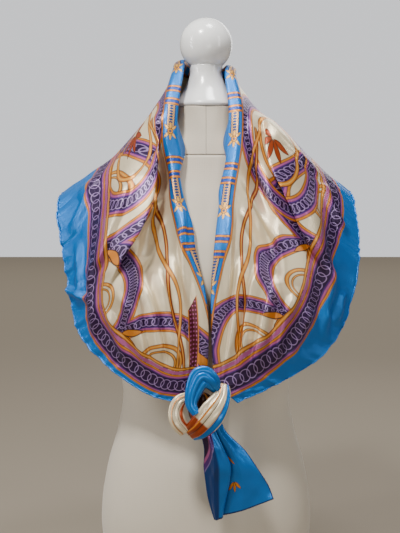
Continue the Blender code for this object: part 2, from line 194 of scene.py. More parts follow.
def noiseWire(tree, scale, detail=3.0, stretch=(1, 1, 1), mapName=None):
    # a noise texture on Object coordinates, or on a UV map, stretched along its axes
    mapping = tree.nodes.new("ShaderNodeMapping")
    mapping.inputs["Scale"].default_value = stretch
    if mapName:
        source = tree.nodes.new("ShaderNodeUVMap")
        source.uv_map = mapName
        tree.links.new(source.outputs[0], mapping.inputs[0])
    else:
        source = tree.nodes.new("ShaderNodeTexCoord")
        tree.links.new(source.outputs["Object"], mapping.inputs[0])
    cloud = tree.nodes.new("ShaderNodeTexNoise")
    cloud.inputs["Scale"].default_value = scale
    cloud.inputs["Detail"].default_value = detail
    tree.links.new(mapping.outputs[0], cloud.inputs["Vector"])
    return Wire(tree, cloud.outputs[0])


def newMaterial(name, **sockets):
    material = bpy.data.materials.new(name)
    material.use_nodes = True
    shader = material.node_tree.nodes["Principled BSDF"]
    for key, value in sockets.items():
        shader.inputs[key.replace("_", " ")].default_value = value
    return material, material.node_tree, shader


def addBump(tree, shader, height, strength, reach):
    bump = tree.nodes.new("ShaderNodeBump")
    bump.inputs["Strength"].default_value = strength
    bump.inputs["Distance"].default_value = reach
    tree.links.new(height.socket, bump.inputs["Height"])
    tree.links.new(bump.outputs[0], shader.inputs["Normal"])


# the dress form
form = {
    # height, half width, depth in front, depth behind
    "body": ((0.010, 0.148, 0.106, 0.118), (0.075, 0.152, 0.110, 0.126), (0.150, 0.141, 0.102, 0.112),
             (0.195, 0.128, 0.093, 0.093), (0.240, 0.1205, 0.086, 0.082), (0.300, 0.127, 0.092, 0.085),
             (0.360, 0.142, 0.110, 0.094), (0.410, 0.151, 0.119, 0.101), (0.455, 0.160, 0.106, 0.106),
             (0.500, 0.174, 0.085, 0.105), (0.530, 0.183, 0.072, 0.099), (0.548, 0.172, 0.064, 0.092),
             (0.566, 0.142, 0.058, 0.082), (0.584, 0.106, 0.054, 0.070), (0.600, 0.074, 0.051, 0.058),
             (0.616, 0.055, 0.048, 0.050), (0.635, 0.047, 0.046, 0.046), (0.6545, 0.0445, 0.0445, 0.0445)),
    # radius, height
    "cap": ((0.0410, 0.6550), (0.0450, 0.6551), (0.0470, 0.6566), (0.0475, 0.6588), (0.0465, 0.6615),
            (0.0430, 0.6665), (0.0370, 0.6745), (0.0305, 0.6840), (0.0256, 0.6950), (0.0232, 0.7040),
            (0.0232, 0.7110), (0.0236, 0.7148)),
    "bodyLow": 0.0103,
    "seamGap": 0.0004,  # between the torso's top and the neck piece
    "ballRadius": 0.0375,
    "ballHeight": 0.746,
    "ballFoot": (0.0235, 0.7152),  # radius and height where the ball meets the cap
    "jersey": (0.66, 0.59, 0.48),
    "paint": (0.86, 0.86, 0.85),
    "board": (0.42, 0.37, 0.30),
}


def formSection(z):
    # half width, depth in front and depth behind at each height
    table = np.array(form["body"])
    return through(table[:, 0], table[:, 1:], np.clip(z, table[0, 0], table[-1, 0]))


def formSurface(low, high, rows, columns=160):
    # rings of a squared ellipse whose half width and depths are read from the table at each height
    z = np.linspace(low, high, rows)
    size = formSection(z)
    angle = np.linspace(0, 2 * np.pi, columns + 1)
    power = 2 / formSquareness
    cosine = np.sign(np.cos(angle)) * np.abs(np.cos(angle)) ** power
    sine = np.sign(np.sin(angle)) * np.abs(np.sin(angle)) ** power
    depth = np.where(np.sin(angle)[None, :] < 0, size[:, 1:2], size[:, 2:3])
    return np.stack([size[:, 0:1] * cosine, depth * sine, z[:, None] + 0 * angle[None, :]], axis=-1)


def closeEnds(points):
    # adds a ring drawn in to one point at each end, so that the tube is closed
    first, last = points[0].mean(axis=0), points[-1].mean(axis=0)
    return np.concatenate([np.broadcast_to(first, points[:1].shape), points,
                           np.broadcast_to(last, points[:1].shape)])


def flatMap(points):
    # 0 to 1 across the columns and 0 to 1 along the rows
    rows, columns = points.shape[:2]
    across, along = np.meshgrid(np.linspace(0, 1, columns), np.linspace(0, 1, rows))
    return np.stack([across, along], axis=-1)


def jerseyMaterial():
    material, tree, shader = newMaterial("jersey", Roughness=0.82, Sheen_Weight=0.25, Sheen_Roughness=0.5)
    x, y, z = (Wire(tree, s) for s in coordinateParts(tree))
    shade = Paint(tree, form["jersey"])
    blotch = noiseWire(tree, 14.0, 4.0)
    shade.lay((blotch - 0.45) * 0.9, tuple(0.86 * c for c in form["jersey"]))
    # a fine rib of knit columns, a neck seam and the seam down the middle of the neck
    rib = (x * 2600.0).math("SINE") * 0.5 + (z * 2100.0).math("SINE") * 0.35
    neckSeam = (z - neckSeamHeight + 0.0006).size().below(0.0009, 0.0004)
    frontSeam = x.size().below(0.0006, 0.0004) * z.between(neckSeamHeight, 0.70) * y.below(0.0, 0.002)
    seams = neckSeam.over(frontSeam)
    shade.lay(seams * 0.55, tuple(0.55 * c for c in form["jersey"]))
    tree.links.new(shade.socket, shader.inputs["Base Color"])
    addBump(tree, shader, rib * 0.10 + noiseWire(tree, 320.0, 2.0) * 0.25 - seams * 1.6, 0.55, 0.0006)
    return material


def coordinateParts(tree):
    source = tree.nodes.new("ShaderNodeTexCoord")
    parts = tree.nodes.new("ShaderNodeSeparateXYZ")
    tree.links.new(source.outputs["Object"], parts.inputs[0])
    return parts.outputs


def paintMaterial():
    material, tree, shader = newMaterial("whitePaint", Roughness=0.22, Coat_Weight=0.35, Coat_Roughness=0.12)
    shade = Paint(tree, form["paint"])
    shade.lay(noiseWire(tree, 30.0, 3.0).below(0.42, 0.08) * 0.35, tuple(0.93 * c for c in form["paint"]))
    tree.links.new(shade.socket, shader.inputs["Base Color"])
    addBump(tree, shader, noiseWire(tree, 120.0, 3.0), 0.08, 0.0006)
    return material


def boardMaterial():
    material, tree, shader = newMaterial("sealedBoard", Roughness=0.6)
    grain = noiseWire(tree, 40.0, 5.0, stretch=(1, 9, 9))
    shade = Paint(tree, form["board"])
    shade.lay(grain.below(0.5, 0.15) * 0.7, tuple(0.7 * c for c in form["board"]))
    tree.links.new(shade.socket, shader.inputs["Base Color"])
    addBump(tree, shader, grain, 0.2, 0.0004)
    return material


def turnedSurface(profile, steps=96):
    # each radius and height of the profile turned round the upright axis
    angle = np.linspace(0, 2 * np.pi, steps + 1)
    radius, z = np.array(profile)[:, 0:1], np.array(profile)[:, 1:2]
    return np.stack([radius * np.cos(angle), radius * np.sin(angle), z + 0 * angle], axis=-1)


def place(piece, slotName, *nodes):
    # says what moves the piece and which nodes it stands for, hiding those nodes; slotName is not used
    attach(piece, "root")
    if nodes:
        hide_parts(*nodes)


def addSolid(name, points, material, slotName, node):
    # a closed grid as one piece that stands for its node
    piece = addSurface(name, points, {"flat": flatMap(points)}, material, closed=True)
    place(piece, slotName, node)


def buildForm():
    jersey, paint = jerseyMaterial(), paintMaterial()
    torso = formSurface(form["bodyLow"], neckSeamHeight - form["seamGap"] / 2, 150)
    addSolid("formBody", closeEnds(torso), jersey, "jersey", "form_torso")
    neck = formSurface(neckSeamHeight + form["seamGap"] / 2, neckTopHeight, 40)
    addSolid("formNeck", closeEnds(neck), jersey, "jersey", "form_neck")
    cap = through(np.arange(len(form["cap"])), np.array(form["cap"]), np.linspace(0, len(form["cap"]) - 1, 60))
    addSolid("neckCap", closeEnds(turnedSurface(cap)), paint, "white_paint", "form_neck_cap")
    radius, foot = form["ballRadius"], form["ballFoot"]
    turn = np.linspace(math.asin(foot[0] / radius), math.pi, 60)
    ball = np.stack([radius * np.sin(turn), form["ballHeight"] - radius * np.cos(turn)], axis=1)
    ball = np.concatenate([[foot], ball])
    addSolid("ballFinial", closeEnds(turnedSurface(ball)), paint, "white_paint", "form_finial")
    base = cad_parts["form_base"]
    base.data.materials.clear()
    base.data.materials.append(boardMaterial())
    print("form built")


# the scarf's drape
cape = {
    # edge (out, y, z), middle (out, y, z), hem (out, y, z), roll width, roll height, border's share that shows
    "backMiddle": (0.000, 0.036, 0.716, 0.000, 0.108, 0.560, 0.000, 0.137, 0.325, 0.026, 0.010, 1.0),
    "left": ((0.021, 0.030, 0.720, 0.082, 0.098, 0.566, 0.102, 0.128, 0.410, 0.025, 0.010, 1.0),
             (0.030, 0.005, 0.724, 0.122, 0.052, 0.588, 0.172, 0.080, 0.492, 0.024, 0.010, 1.0),
             (0.030, -0.022, 0.707, 0.124, 0.012, 0.597, 0.208, 0.028, 0.536, 0.027, 0.011, 1.0),
             (0.037, -0.050, 0.655, 0.124, -0.040, 0.578, 0.214, -0.004, 0.505, 0.030, 0.012, 1.0),
             (0.041, -0.066, 0.600, 0.126, -0.080, 0.522, 0.203, -0.026, 0.455, 0.028, 0.010, 0.98),
             (0.032, -0.088, 0.532, 0.118, -0.112, 0.460, 0.193, -0.044, 0.402, 0.026, 0.009, 0.80),
             (0.015, -0.116, 0.462, 0.102, -0.129, 0.402, 0.177, -0.064, 0.345, 0.024, 0.008, 0.36),
             (0.000, -0.134, 0.392, 0.075, -0.131, 0.345, 0.141, -0.092, 0.305, 0.022, 0.007, 0.13),
             (-0.002, -0.138, 0.325, 0.042, -0.137, 0.298, 0.080, -0.119, 0.267, 0.018, 0.005, 0.09),
             (0.004, -0.138, 0.276, 0.019, -0.141, 0.268, 0.034, -0.136, 0.257, 0.010, 0.003, 0.12)),
    "right": ((0.020, 0.030, 0.715, 0.082, 0.098, 0.570, 0.102, 0.128, 0.412, 0.024, 0.010, 1.0),
              (0.028, 0.005, 0.716, 0.118, 0.052, 0.600, 0.172, 0.080, 0.500, 0.023, 0.010, 0.9),
              (0.025, -0.022, 0.699, 0.119, 0.010, 0.610, 0.206, 0.028, 0.540, 0.026, 0.010, 0.6),
              (0.030, -0.050, 0.648, 0.120, -0.042, 0.588, 0.216, -0.004, 0.508, 0.028, 0.011, 0.42),
              (0.029, -0.066, 0.596, 0.122, -0.080, 0.528, 0.217, -0.026, 0.458, 0.028, 0.010, 0.62),
              (0.019, -0.088, 0.534, 0.114, -0.112, 0.464, 0.208, -0.046, 0.404, 0.026, 0.009, 0.95),
              (0.010, -0.114, 0.466, 0.102, -0.129, 0.402, 0.188, -0.066, 0.350, 0.024, 0.008, 0.85),
              (0.0055, -0.132, 0.396, 0.079, -0.131, 0.344, 0.149, -0.094, 0.307, 0.022, 0.007, 0.50),
              (0.0070, -0.137, 0.328, 0.050, -0.138, 0.300, 0.089, -0.118, 0.277, 0.018, 0.005, 0.24),
              (0.0100, -0.139, 0.284, 0.024, -0.142, 0.274, 0.039, -0.137, 0.258, 0.010, 0.003, 0.15)),
    "frontRows": 26,  # rows to a station in front, where it shows, and behind
    "backRows": 9,
    "rollColumns": 15,
    "panelColumns": 86,
    "clear": 0.0030,  # least way from the form
    "ripples": ((0.0011, 3, 46, 5), (0.0006, 5, 90, 14)),  # height, seed, cells along, cells across
    "pucker": (0.0016, 8, 150, 3),  # the same, at the hem
}

hemRoll = {
    "radius": 0.0013,
    "stitch": 0.006,  # way from stitch to stitch
    "tightness": 0.18,
    "sides": 8,
}

# folds: side of the cloth, start x z, end x z, bow, inner width, outer width, height, lean towards the middle
folds = (
    ("front", -0.070, 0.650, -0.138, 0.392, 0.008, 0.0070, 0.050, 0.0270, 0.024),
    ("front", -0.112, 0.560, -0.160, 0.405, 0.006, 0.0060, 0.022, 0.0117, 0.006),
    ("front", -0.058, 0.650, -0.100, 0.545, 0.004, 0.0060, 0.022, 0.0117, 0.006),
    ("front", -0.060, 0.610, -0.092, 0.330, 0.000, 0.024, 0.016, -0.013, 0),
    ("front", -0.058, 0.540, -0.106, 0.455, -0.004, 0.010, 0.012, 0.0078, 0.003),
    ("front", -0.054, 0.505, -0.092, 0.425, 0.002, 0.008, 0.010, 0.0052, 0.001),
    ("front", -0.048, 0.455, -0.024, 0.285, 0.000, 0.009, 0.013, 0.0104, 0.003),
    ("front", -0.068, 0.440, -0.036, 0.285, 0.002, 0.008, 0.012, 0.0091, 0.003),
    ("front", -0.090, 0.430, -0.054, 0.286, 0.003, 0.008, 0.013, 0.0091, 0.003),
    ("front", -0.112, 0.405, -0.074, 0.288, 0.003, 0.008, 0.013, 0.0078, 0.002),
    ("front", -0.134, 0.380, -0.100, 0.296, 0.002, 0.008, 0.012, 0.0065, 0.001),
    ("front", -0.156, 0.440, -0.150, 0.322, 0.000, 0.009, 0.011, 0.00715, 0.001),
    ("front", -0.176, 0.470, -0.172, 0.372, 0.000, 0.008, 0.010, 0.00585, 0),
    ("front", -0.200, 0.400, -0.150, 0.386, 0.000, 0.006, 0.009, 0.0065, 0),
    ("front", -0.034, 0.520, -0.024, 0.380, 0.000, 0.006, 0.009, 0.0065, 0.001),
    ("front", -0.150, 0.565, -0.196, 0.470, 0.003, 0.010, 0.010, 0.0065, 0),
    ("front", 0.080, 0.645, 0.166, 0.410, -0.006, 0.0070, 0.046, 0.0270, 0.024),
    ("front", 0.056, 0.655, 0.112, 0.480, -0.010, 0.0060, 0.020, 0.0117, 0.006),
    ("front", 0.066, 0.648, 0.176, 0.545, -0.006, 0.0060, 0.026, 0.013, 0.006),
    ("front", 0.064, 0.600, 0.104, 0.330, 0.000, 0.024, 0.016, -0.013, 0),
    ("front", 0.140, 0.540, 0.184, 0.360, -0.006, 0.018, 0.016, 0.0091, 0.001),
    ("front", 0.046, 0.560, 0.108, 0.446, 0.000, 0.008, 0.012, 0.0078, 0.003),
    ("front", 0.044, 0.520, 0.088, 0.425, -0.002, 0.008, 0.010, 0.0052, 0.001),
    ("front", 0.048, 0.455, 0.026, 0.288, 0.000, 0.009, 0.013, 0.0104, 0.003),
    ("front", 0.072, 0.445, 0.042, 0.290, -0.002, 0.008, 0.012, 0.0091, 0.003),
    ("front", 0.096, 0.430, 0.062, 0.292, -0.003, 0.008, 0.013, 0.0091, 0.003),
    ("front", 0.120, 0.410, 0.084, 0.296, -0.003, 0.008, 0.013, 0.0078, 0.002),
    ("front", 0.142, 0.385, 0.108, 0.304, -0.002, 0.008, 0.012, 0.0065, 0.001),
    ("front", 0.032, 0.520, 0.024, 0.370, 0.000, 0.006, 0.009, 0.0065, 0.001),
    ("front", 0.164, 0.440, 0.158, 0.330, 0.000, 0.009, 0.011, 0.00715, 0),
    ("front", 0.188, 0.400, 0.176, 0.350, 0.000, 0.008, 0.010, 0.00585, 0),
    ("front", 0.160, 0.555, 0.200, 0.470, -0.003, 0.010, 0.010, 0.0065, 0),
    ("back", -0.040, 0.640, -0.070, 0.430, 0.004, 0.012, 0.030, 0.013, 0.005),
    ("back", 0.034, 0.640, 0.060, 0.440, -0.004, 0.012, 0.028, 0.013, 0.005),
    ("back", 0.000, 0.620, 0.004, 0.380, 0.000, 0.022, 0.022, -0.0078, 0),
    ("back", -0.090, 0.600, -0.140, 0.480, 0.000, 0.012, 0.024, 0.0104, 0.003),
    ("back", 0.088, 0.606, 0.142, 0.485, 0.000, 0.012, 0.024, 0.0104, 0.003),
    ("back", -0.018, 0.580, -0.030, 0.370, 0.000, 0.010, 0.012, 0.0065, 0.001),
    ("back", 0.020, 0.570, 0.034, 0.375, 0.000, 0.010, 0.012, 0.0065, 0.001),
)


def pushClear(points, gap):
    # points inside the form's outline, made gap larger, move straight out from its middle onto it
    size = formSection(points[..., 2].ravel()).reshape(points.shape[:-1] + (3,)) + gap
    depth = np.where(points[..., 1] < 0, size[..., 1], size[..., 2])
    reach = ((np.abs(points[..., 0]) / size[..., 0]) ** formSquareness
             + (np.abs(points[..., 1]) / depth) ** formSquareness) ** (1 / formSquareness)
    inside = (points[..., 2] < neckTopHeight) & (reach < 1)
    result = points.copy()
    result[..., :2] *= np.where(inside, 1 / np.maximum(reach, 1e-3), 1)[..., None]
    return result


def foldCloth(points, normals):
    # each fold is a soft ridge beside a bowed line, raised along the normal and leaned towards the middle
    raised = points.copy()
    for side, x0, z0, x1, z1, bow, innerWide, outerWide, height, lean in folds:
        run = np.array([x1 - x0, z1 - z0])
        length = np.linalg.norm(run)
        run /= length
        offset = points[..., [0, 2]] - (x0, z0)
        share = (offset @ run) / length
        aside = offset @ np.array([-run[1], run[0]]) - bow * 4 * share * (1 - share)
        sideways = np.sign(-run[1] * (x0 + x1) + 1e-9)
        outward = aside * sideways
        ridge = np.clip(1 - (aside / np.where(outward > 0, outerWide, innerWide)) ** 2, 0, 1) ** 2
        fade = smoothStep(0, 0.22, share) * smoothStep(1, 0.66, share)
        facing = normals[..., 1] * (-1 if side == "front" else 1)
        weight = ridge * fade * smoothStep(-0.1, 0.3, facing)
        raised += normals * (height * weight)[..., None]
        if lean:
            inward = np.array([run[1], 0, -run[0]]) * sideways
            raised += inward * (lean * weight)[..., None]
    return raised


def capeSurface():
    # rows run from knot to knot round the back; columns from the turned-under edge, over the roll, to the hem
    stations = [(-1, row) for row in reversed(cape["left"])] + [(1, cape["backMiddle"])]
    stations += [(1, row) for row in cape["right"]]
    table = np.array([row for _, row in stations])
    table[:, [0, 3, 6]] *= np.array([side for side, _ in stations], float)[:, None]
    half, turn = len(cape["left"]), 3
    front = np.linspace(turn, half, (half - turn) * cape["frontRows"] + 1)
    back = np.linspace(-turn, turn, 2 * turn * cape["backRows"] + 1)
    wanted = np.concatenate([-front[:0:-1], back, front[1:]])
    rails = through(np.arange(-half, half + 1.0), table, wanted)
    edge, middle, hem = rails[:, 0:3], rails[:, 3:6], rails[:, 6:9]
    rollWide, rollHigh, borderShow = rails[:, 9:10], rails[:, 10:11], rails[:, 11]
    outward = unit(middle - edge)
    forward = unit(np.gradient(edge, axis=0))
    up = unit(np.cross(forward, outward))
    outward = unit(np.cross(up, forward))
    knots = np.stack([edge + 0.55 * rollWide * outward - 0.35 * rollHigh * up, edge + 0.25 * rollHigh * up,
                      edge + 0.42 * rollWide * outward + rollHigh * up,
                      edge + rollWide * outward + 0.15 * rollHigh * up, middle, hem], axis=1)
    gaps = np.linalg.norm(np.diff(knots, axis=1), axis=2)
    chord = np.concatenate([np.zeros((len(knots), 1)), np.cumsum(gaps, axis=1)], axis=1)
    rows = []
    for spots, line in zip(chord, knots):
        roll = np.interp(np.linspace(0, 3, cape["rollColumns"] + 1), [0, 1, 2, 3], spots[:4])
        panel = np.linspace(spots[3], spots[5], cape["panelColumns"] + 1)[1:]
        rows.append(through(spots, line, np.concatenate([roll, panel])))
    return np.array(rows), borderShow, chord[:, 1]


def measureCloth(points, borderShow, edgeAt):
    # the cloth's own measures: how far along and in from the hem, and how far along and out from the edge
    rows = len(points)
    hem = points[:, -1]
    hemRun = np.concatenate([[0], np.cumsum(np.linalg.norm(np.diff(hem, axis=0), axis=1))])
    hemRun -= hemRun[len(hemRun) // 2]
    tangent = unit(np.gradient(hem, axis=0))
    offset = points - hem[:, None]
    slide = (offset * tangent[:, None]).sum(axis=2)
    turnedUnder = (1 - borderShow[:, None]) * motif["borderWide"]
    inFrom = np.sqrt(np.maximum((offset**2).sum(axis=2) - slide**2, 0)) + turnedUnder
    hemMap = np.stack([hemRun[:, None] + slide, inFrom], axis=2)
    steps = np.linalg.norm(np.diff(points, axis=1), axis=2)
    outFrom = np.concatenate([np.zeros((rows, 1)), np.cumsum(steps, axis=1)], axis=1) - edgeAt[:, None]
    edge = points[:, cape["rollColumns"] // 3]
    edgeRun = np.concatenate([[0], np.cumsum(np.linalg.norm(np.diff(edge, axis=0), axis=1))])
    edgeRun -= edgeRun[len(edgeRun) // 2]
    fieldMap = np.stack([edgeRun[:, None] + 0 * outFrom, outFrom], axis=2)
    return hemMap, fieldMap


def buildHem(line, outward, normals):
    # a roll along the hem: a small circle round each point of it, tightened at each stitch
    outward = unit(outward)
    angle = np.linspace(0, 2 * np.pi, hemRoll["sides"] + 1)
    run = np.concatenate([[0], np.cumsum(np.linalg.norm(np.diff(line, axis=0), axis=1))])
    swell = 1 + hemRoll["tightness"] * np.sin(run * 2 * np.pi / hemRoll["stitch"])
    tight = hemRoll["radius"] * swell[:, None, None]
    points = line[:, None] + tight * (np.cos(angle)[None, :, None] * outward[:, None]
                                      + np.sin(angle)[None, :, None] * normals[:, None])
    flat = np.stack(np.broadcast_arrays(np.cos(angle)[None, :], run[:, None]), axis=-1)
    thread = plainSilk("hemSilk", "blue", ((0.8, 0.1, "deepBlue"),))
    flat = np.concatenate([flat[:1], flat, flat[-1:]])
    piece = addSurface("rolledHem", closeEnds(points), {"flat": flat}, thread, closed=True)
    place(piece, "silk")


def buildCape(silk):
    # the drape, its folds along the normals, fine ripples on the panels and puckers at the hem
    points, borderShow, edgeAt = capeSurface()
    hemMap, fieldMap = measureCloth(points, borderShow, edgeAt)
    normals = gridNormals(points)
    rows, columns = points.shape[:2]
    ripple = sum(height * noise(seed, rows, columns, *cells) for height, seed, *cells in cape["ripples"])
    height, seed, *cells = cape["pucker"]
    pucker = height * noise(seed, rows, columns, *cells) * np.linspace(0, 1, columns)[None, :] ** 6
    panelOnly = smoothStep(cape["rollColumns"], cape["rollColumns"] + 10, np.arange(columns))[None, :]
    points = foldCloth(points, normals)
    points = points + normals * ((ripple * panelOnly + pucker)[..., None])
    points = pushClear(points, cape["clear"])
    buildHem(points[:, -1], points[:, -1] - points[:, -3], normals[:, -1])
    piece = addSurface("scarfCape", points, {"hem": hemMap, "field": fieldMap}, silk, thick=silkThick)
    place(piece, "silk", "scarf_neck_roll", "scarf_lapel_left", "scarf_lapel_right", "scarf_front_left",
          "scarf_front_right", "scarf_shoulder_left", "scarf_shoulder_right", "scarf_back")
    print("cape built", points.shape)
    return piece


# the printed silk
inks = {
    "cream": (0.78, 0.66, 0.45),
    "blue": (0.0, 0.165, 0.56),
    "deepBlue": (0.0, 0.035, 0.17),
    "royal": (0.003, 0.055, 0.36),
    "plum": (0.022, 0.004, 0.045),
    "purple": (0.075, 0.018, 0.17),
    "pink": (0.42, 0.10, 0.28),
    "lilac": (0.34, 0.22, 0.46),
    "gold": (0.66, 0.22, 0.018),
    "paleGold": (0.80, 0.42, 0.08),
    "rust": (0.33, 0.045, 0.004),
    "brown": (0.050, 0.014, 0.004),
    "maroon": (0.09, 0.008, 0.012),
}

satin = {"Roughness": 0.33, "Metallic": 0.42, "Anisotropic": 0.5, "Specular_IOR_Level": 0.6}

# the print's sizes: "in" is from the hem, "out" is from the folded edge
motif = {
    "borderWide": 0.0608,
    "frameIn": 0.0785,
    "frameHalf": 0.0118,
    "stripeIn": (0.0965, 0.1015),
    "innerCordIn": 0.1045,
    "sprayIn": 0.104,
    "scallopPitch": 0.150,
    "scallopStart": 0.395,
    "scallopIn": 0.086,
    "scallopRadius": 0.076,
    "scallopHalf": 0.0080,
    "collar": (0.165, 0.092),  # along and out to the neck arc's middle
    "collarRadius": 0.066,
    "collarHalf": 0.0075,
    "plait": (0.048, 0.0075, 34.0),  # out to the plait's middle, sway, turns per metre times two pi
    "plaitFrom": (0.17, 0.62),
    "sashWide": 0.0200,
    "sashPitch": 0.105,
    "sashDip": 0.030,  # how far the sash has turned under at the knot
    "beadOut": 0.0215,
    "beadGrid": (0.0058, 0.0044),
}


def chainMask(along, across, pitch, radius, line):
    # two rows of rings half a pitch apart, so that each ring runs through the next
    first = (distance(along.fold(pitch), across) - radius).size().below(line, 0.0003)
    second = (distance((along + pitch / 2).fold(pitch), across) - radius).size().below(line, 0.0003)
    return first.over(second)


def ribbonPrint(paint, along, across, half):
    # a plum band with a ring chain down its middle, then pink, gold and brown edges
    side = across.size()
    for reach, ink in ((0.0060, "brown"), (0.0053, "gold"), (0.0030, "brown"), (0.0024, "pink"),
                       (0.0002, "purple"), (-0.0014, "plum")):
        paint.lay(side.below(half + reach), inks[ink])
    paint.lay(chainMask(along, across, half * 1.9, half * 0.66, 0.00052), inks["lilac"])


def rotated(x, y, centreX, centreY, turn):
    dx, dy = x - centreX, y - centreY
    return dx * math.cos(turn) + dy * math.sin(turn), dy * math.cos(turn) - dx * math.sin(turn)


def leafMask(x, y, long, wide):
    # a pointed leaf: where two equal discs overlap
    bow = (long * long + wide * wide) / (2 * wide)
    lift = bow - wide
    return distance(x, y.size() + lift).below(bow, 0.0004)


def weave(tree, shader, mapName):
    # satin floats along one way, fine slubs, and small soft creases
    u, v = mapWires(tree, mapName)
    floats = ((u + v) * 6200.0).math("SINE") * 0.06 + ((u - v) * 5200.0).math("SINE") * 0.04
    slub = noiseWire(tree, 900.0, 2.0, stretch=(1, 0.12, 1), mapName=mapName)
    crease = noiseWire(tree, 55.0, 3.0)
    addBump(tree, shader, floats + slub * 0.12 + crease * 0.3, 0.35, 0.0012)


def cordLine(paint, aside, wide, ink="gold", mask=None):
    # a line with dark edges and a pale middle, kept to the mask
    for half, colour in ((wide + 0.0008, "brown"), (wide, ink), (wide * 0.3, "paleGold")):
        line = aside.size().below(half)
        paint.lay(line * mask if mask else line, inks[colour])


def scrollRing(paint, x, y, radius, wide):
    # a gold ring with dark edges and a pale line along it
    cordLine(paint, distance(x, y) - radius, wide)


def leafSpray(paint, x, y, long, leaves, ink):
    # pointed leaves fanned from one point
    for leaf in range(leaves):
        turn = (leaf - (leaves - 1) / 2) * 0.75
        px, py = rotated(x, y, 0.55 * long * math.cos(turn), 0.55 * long * math.sin(turn), turn)
        paint.lay(leafMask(px, py, long * 0.50, long * 0.17), inks["brown"])
        paint.lay(leafMask(px, py, long * 0.45, long * 0.13), inks[ink])


def fieldPrint(paint, along, inFrom, front, out):
    # scallops of ribbon hung from the frame band, each crossing the next, with scroll rings inside
    pitch, radius = motif["scallopPitch"], motif["scallopRadius"]
    ringX, ringY = (along - motif["scallopStart"]).fold(pitch), inFrom - motif["scallopIn"]
    around = ringY.math("ARCTAN2", ringX) * radius
    ribbonPrint(paint, around, distance(ringX, ringY) - radius, motif["scallopHalf"])
    scrollRing(paint, ringX, ringY - 0.014, 0.030, 0.0022)
    scrollRing(paint, ringX, ringY - 0.014, 0.022, 0.0010)
    leafSpray(paint, ringX, ringY - 0.006, 0.020, 3, "royal")
    leafSpray(paint, (ringX - pitch / 2).fold(pitch), inFrom - motif["sprayIn"], 0.034, 3, "gold")
    # a ribbon arc below the neck
    collarX, collarY, radius = front - motif["collar"][0], out - motif["collar"][1], motif["collarRadius"]
    around = collarY.math("ARCTAN2", collarX) * radius
    ribbonPrint(paint, around, distance(collarX, collarY) - radius, motif["collarHalf"])
    scrollRing(paint, collarX, collarY, 0.040, 0.0022)
    leafSpray(paint, collarX + 0.010, collarY, 0.026, 5, "rust")


def sashPrint(paint, run, out):
    # blue with gold edges, bars, chain and leaves along the folded edge, turning under towards the knot
    wide, pitch = motif["sashWide"], motif["sashPitch"]
    front = run.size()
    dip = ((front - 0.335) * 6.0).math("MULTIPLY", 1.0, clamp=True)
    out = out + dip * motif["sashDip"]
    for reach, ink in ((0.0032, "brown"), (0.0025, "gold"), (0.0006, "brown"), (0.0, "blue")):
        paint.lay(out.below(wide + reach), inks[ink])
    inside, aside = out.below(wide), out - wide / 2
    chainPart = (front - 0.060).fold(pitch).size().below(0.0200)
    paint.lay(aside.size().below(0.0062) * chainPart, inks["deepBlue"])
    paint.lay(chainMask(front, aside, 0.0080, 0.0042, 0.00045) * inside * chainPart, inks["paleGold"])
    for barAt in (0.020, 0.041):
        bar = (front - barAt).fold(pitch).size()
        for reach, ink in ((0.0058, "brown"), (0.0051, "gold"), (0.0026, "brown"), (0.0020, "royal")):
            paint.lay(inside * bar.below(reach), inks[ink])
    starAlong = (front - 0.0855).fold(pitch)
    for turn in (1, -1):
        leafSpray(paint, starAlong * turn, aside, 0.0125, 3, "paleGold")
    scrollRing(paint, starAlong, aside, 0.0026, 0.0009)
    paint.lay((out + 0.003).size().below(0.0012), inks["gold"])


def scarfMaterial():
    material, tree, shader = newMaterial("printedSilk", **satin)
    along, inFrom = mapWires(tree, "hem")
    run, out = mapWires(tree, "field")
    paint = Paint(tree, inks["cream"])
    front, along = run.size(), along.size()
    fieldPrint(paint, along, inFrom, front, out)

    # two cords plaited down each front
    plaitOut, reach, turns = motif["plait"]
    onFront = front.between(*motif["plaitFrom"], 0.002)
    sway = (front * turns).math("SINE") * reach
    cordLine(paint, out - plaitOut - sway, 0.0022, "rust", onFront)
    cordLine(paint, out - plaitOut + sway, 0.0022, "gold", onFront)
    sashPrint(paint, run, out)

    # two bars and a dark beaded band beside the left cords, above the knot
    left = (run * -1.0 - 0.405 - out * 1.2).math("GREATER_THAN", 0.0)
    nearEdge = left * out.below(0.016)
    for barAt, ink in ((0.545, "royal"), (0.515, "gold")):
        bar = (front - barAt + out * 0.7).size()
        paint.lay(bar.below(0.0082) * nearEdge, inks["brown"])
        paint.lay(bar.below(0.0074) * nearEdge, inks[ink])
    beadAside = out - motif["beadOut"]
    for half, ink in ((0.0080, "gold"), (0.0066, "maroon")):
        paint.lay(beadAside.size().below(half) * left, inks[ink])
    beadLong, beadWide = motif["beadGrid"]
    beads = distance(front.fold(beadLong), beadAside.fold(beadWide)).below(0.0011)
    paint.lay(beads * beadAside.size().below(0.0058) * left, inks["pink"])

    # the frame band, a pink stripe inside it, and the border out to the hem
    cordLine(paint, inFrom - motif["innerCordIn"], 0.0018)
    paint.lay(inFrom.between(*motif["stripeIn"]), inks["pink"])
    ribbonPrint(paint, along, inFrom - motif["frameIn"], motif["frameHalf"])
    paint.lay(inFrom.below(motif["borderWide"]), inks["blue"])
    paint.lay(inFrom.below(0.0026, 0.0008), inks["deepBlue"])
    tree.links.new(paint.socket, shader.inputs["Base Color"])
    weave(tree, shader, "field")
    return material


